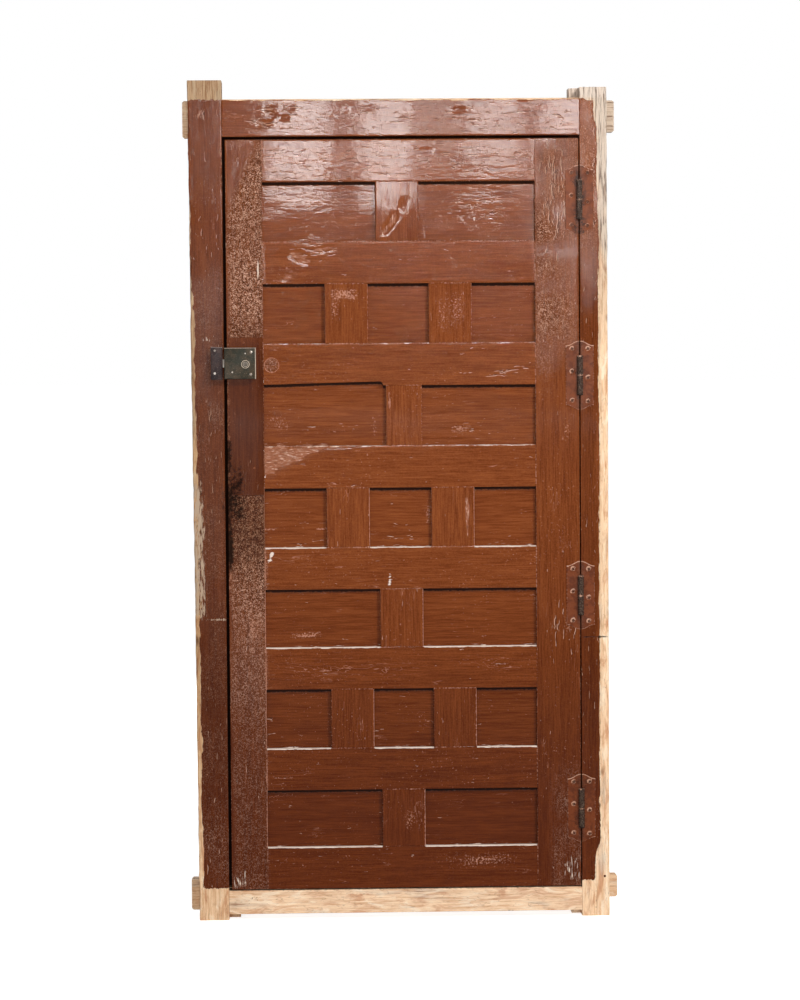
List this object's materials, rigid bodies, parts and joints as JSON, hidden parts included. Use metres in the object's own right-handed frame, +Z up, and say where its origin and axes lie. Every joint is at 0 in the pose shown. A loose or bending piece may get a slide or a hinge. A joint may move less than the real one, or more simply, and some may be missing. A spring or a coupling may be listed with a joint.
{
  "type": "panelled wooden door",
  "caption": "Rail and panel wooden door leaf on lift-off hinges in a rebated frame with through tenons and horns, with a rim lock and keeper.",
  "frame": {"origin": "middle of the whole door in plan, on the floor under the feet of the jambs", "axes": "+Z up, -Y the face with lock and hinges, towards which the leaf opens, +X the hinge side"},
  "size_m": [1.0358, 0.1226, 2.011],
  "materials": {
    "painted_wood": "old red-brown gloss paint over pine, worn at the edges",
    "bare_wood": "bare weathered pine",
    "painted_iron": "forged iron under worn brown paint",
    "black_iron": "blackened iron, edges rubbed bright",
    "bright_steel": "rubbed bright steel"
  },
  "bodies": {
    "frame": {"lock_jamb_upper": "painted_wood", "lock_jamb_lower": "painted_wood", "hinge_jamb_upper": "painted_wood", "hinge_jamb_lower": "painted_wood", "head": "painted_wood", "sill": "bare_wood", "hinge_1_jamb_plate": "painted_iron", "hinge_2_jamb_plate": "painted_iron", "hinge_3_jamb_plate": "painted_iron", "hinge_4_jamb_plate": "painted_iron", "hinge_1_pin": "bright_steel", "hinge_2_pin": "bright_steel", "hinge_3_pin": "bright_steel", "hinge_4_pin": "bright_steel", "keeper": "black_iron"},
    "leaf": {"lock_stile": "painted_wood", "lock_stile_patch": "painted_wood", "hinge_stile": "painted_wood", "rail_1": "painted_wood", "rail_2": "painted_wood", "rail_3": "painted_wood", "rail_4": "painted_wood", "rail_5": "painted_wood", "rail_6": "painted_wood", "rail_7": "painted_wood", "rail_8": "painted_wood", "muntin_1_1": "painted_wood", "muntin_2_1": "painted_wood", "muntin_2_2": "painted_wood", "muntin_3_1": "painted_wood", "muntin_4_1": "painted_wood", "muntin_4_2": "painted_wood", "muntin_5_1": "painted_wood", "muntin_6_1": "painted_wood", "muntin_6_2": "painted_wood", "muntin_7_1": "painted_wood", "panel_1_1": "painted_wood", "panel_1_2": "painted_wood", "panel_2_1": "painted_wood", "panel_2_2": "painted_wood", "panel_2_3": "painted_wood", "panel_3_1": "painted_wood", "panel_3_2": "painted_wood", "panel_4_1": "painted_wood", "panel_4_2": "painted_wood", "panel_4_3": "painted_wood", "panel_5_1": "painted_wood", "panel_5_2": "painted_wood", "panel_6_1": "painted_wood", "panel_6_2": "painted_wood", "panel_6_3": "painted_wood", "panel_7_1": "painted_wood", "panel_7_2": "painted_wood", "hinge_1_leaf_plate": "painted_iron", "hinge_2_leaf_plate": "painted_iron", "hinge_3_leaf_plate": "painted_iron", "hinge_4_leaf_plate": "painted_iron", "lock_case": "black_iron"},
    "bolt": {"lock_bolt": "bright_steel"},
    "plug": {"cylinder_plug": "bright_steel"}
  },
  "joints": [
    {"name": "leaf_swing", "type": "hinge", "parent": "frame", "child": "leaf", "pos_m": [0.42714, -0.041, 0.974], "axis": [0, 0, 1], "range_deg": [0, 170]},
    {"name": "cylinder_turn", "type": "hinge", "parent": "leaf", "child": "plug", "pos_m": [-0.37161, -0.0467, 1.3373], "axis": [0, -1, 0], "range_deg": [-103, 258]},
    {"name": "bolt_slide", "type": "slide", "parent": "leaf", "child": "bolt", "axis": [-1, 0, 0], "range_m": [-0.004, 0.01]}
  ],
  "couplings": [
    {"joint": "cylinder_turn", "follows": "bolt_slide", "rad_per_m": 448.8}
  ]
}
